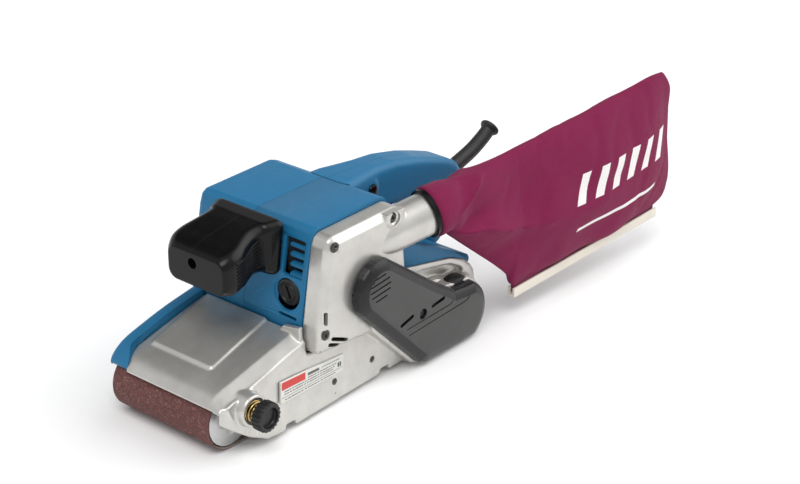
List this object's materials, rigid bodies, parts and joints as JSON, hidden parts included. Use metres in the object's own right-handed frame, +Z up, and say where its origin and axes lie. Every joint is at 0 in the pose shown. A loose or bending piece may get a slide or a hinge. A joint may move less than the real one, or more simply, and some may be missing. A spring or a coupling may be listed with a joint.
{
  "type": "handheld belt sander",
  "caption": "Handheld belt sander: abrasive belt on two rollers under a motor housing, rear D-handle, front grip, side drive cover, tracking knob, belt release lever and swivelling dust bag.",
  "frame": {"origin": "centre of the sanding belt's flat lower run, on the surface being sanded", "axes": "+X from the front grip towards the rear handle, -Y to the drive side with the belt cover and dust nozzle, +Z up, away from the sanding face"},
  "size_m": [0.503, 0.1758, 0.167],
  "materials": {
    "blue_plastic": "fine moulded texture, satin",
    "silver_paint": "satin silver paint on die cast metal",
    "black_gloss": "gloss",
    "black_matte": "matte",
    "steel": "bright steel",
    "aluminium": "machined",
    "copper": "copper, varnished windings",
    "brass": "bright",
    "rubber": "matte rubber",
    "carbon": "pressed carbon",
    "abrasive": "brown aluminium oxide grit on cloth",
    "graphite": "graphite coated cloth",
    "bag_fabric": "burgundy cotton twill",
    "ivory_plastic": "ivory, semi gloss",
    "label_foil": "printed foil"
  },
  "bodies": {
    "frame": {"motor_housing": "blue_plastic", "fan_housing": "blue_plastic", "rear_cover": "blue_plastic", "front_skirt": "blue_plastic", "handle_near": "blue_plastic", "handle_far": "blue_plastic", "base_frame": "silver_paint", "gear_cover": "silver_paint", "front_grip": "black_gloss", "belt_cover": "black_matte", "brush_cap_front": "black_matte", "brush_cap_rear": "black_matte", "switch_block": "black_matte", "lever_pin": "steel", "commutator_bearing": "steel", "fan_bearing": "steel", "gear_bearing_inner": "steel", "gear_bearing_outer": "steel", "drive_bearing_near": "steel", "drive_bearing_far": "steel", "platen_plate": "steel", "gear_cover_screw_1": "steel", "gear_cover_screw_2": "steel", "gear_cover_screw_3": "steel", "belt_cover_screw": "steel", "tension_spring": "steel", "gear_bulkhead": "aluminium", "stator": "copper", "brush_holder_front": "brass", "brush_holder_rear": "brass", "tracking_spring": "brass", "timing_belt": "rubber", "cord_guard": "rubber", "carbon_brush_front": "carbon", "carbon_brush_rear": "carbon", "sanding_belt": "abrasive", "platen_pad": "graphite", "label_plate": "label_foil"},
    "drive_roller": {"drive_roller": "aluminium", "drive_roller_tyre": "rubber", "large_pulley": "aluminium"},
    "intermediate": {"intermediate_shaft": "steel", "reduction_gear": "steel", "small_pulley": "aluminium"},
    "armature": {"armature_shaft": "steel", "armature_core": "steel", "armature_pinion": "steel", "commutator": "copper", "cooling_fan": "black_matte"},
    "carriage": {"tension_carriage": "steel"},
    "fork": {"roller_fork": "steel", "front_axle": "steel"},
    "front_roller": {"front_roller": "aluminium"},
    "tension_lever": {"tension_lever": "steel"},
    "tracking_knob": {"tracking_knob": "black_gloss"},
    "trigger": {"trigger": "black_matte"},
    "lock_button": {"lock_button": "black_matte"},
    "dust_bag": {"bag_ring": "black_matte", "dust_bag": "bag_fabric"},
    "bag_clip": {"bag_clip": "ivory_plastic"}
  },
  "joints": [
    {"name": "drive_roller_spin", "type": "hinge", "parent": "frame", "child": "drive_roller", "pos_m": [0.11511, 0, 0.0243], "axis": [0, 1, 0], "continuous": true},
    {"name": "intermediate_spin", "type": "hinge", "parent": "frame", "child": "intermediate", "pos_m": [0.012, 0, 0.088], "axis": [0, 1, 0], "continuous": true},
    {"name": "armature_spin", "type": "hinge", "parent": "frame", "child": "armature", "pos_m": [-0.00878, 0, 0.091], "axis": [0, 1, 0], "continuous": true},
    {"name": "front_roller_spin", "type": "hinge", "parent": "fork", "child": "front_roller", "pos_m": [-0.11511, 0, 0.0243], "axis": [0, 1, 0], "continuous": true},
    {"name": "tension_lever_swing", "type": "hinge", "parent": "frame", "child": "tension_lever", "pos_m": [-0.04, 0.045, 0.023], "axis": [0, 0, 1], "range_deg": [0, 75.1]},
    {"name": "tension_slide", "type": "slide", "parent": "frame", "child": "carriage", "axis": [1, 0, 0], "range_m": [0, 0.006], "deforming": ["tension_spring"]},
    {"name": "tracking_knob_turn", "type": "hinge", "parent": "frame", "child": "tracking_knob", "pos_m": [-0.112, -0.08, 0.0365], "axis": [0, -1, 0], "range_deg": [-360, 360]},
    {"name": "tracking_tilt", "type": "hinge", "parent": "carriage", "child": "fork", "pos_m": [-0.0805, 0, 0.024], "axis": [0, 0, 1], "range_deg": [-1.01, 1.01]},
    {"name": "trigger_squeeze", "type": "hinge", "parent": "frame", "child": "trigger", "pos_m": [0.087, 0, 0.116], "axis": [0, -1, 0], "range_deg": [0, 8], "stiffness_Nm_per_rad": 0.6, "springref_deg": -8.59},
    {"name": "lock_button_press", "type": "slide", "parent": "frame", "child": "lock_button", "axis": [0, 1, 0], "range_m": [0, 0.003], "stiffness_N_per_m": 300, "springref_m": -0.002},
    {"name": "dust_bag_swivel", "type": "hinge", "parent": "frame", "child": "dust_bag", "pos_m": [0.079, -0.074, 0.126], "axis": [-0.9336, 0.3033, -0.1908], "range_deg": [0, 60]},
    {"name": "bag_clip_slide", "type": "slide", "parent": "dust_bag", "child": "bag_clip", "axis": [0.9911, -0.1042, 0.083], "range_m": [0, 0.17]}
  ],
  "couplings": [
    {"joint": "intermediate_spin", "follows": "drive_roller_spin", "ratio": 1.0833},
    {"joint": "armature_spin", "follows": "drive_roller_spin", "ratio": -3.4667},
    {"joint": "front_roller_spin", "follows": "drive_roller_spin", "ratio": 1},
    {"joint": "tension_lever_swing", "follows": "tension_slide", "rad_per_m": 218.17},
    {"joint": "tracking_tilt", "follows": "tracking_knob_turn", "ratio": 0.0027778}
  ]
}
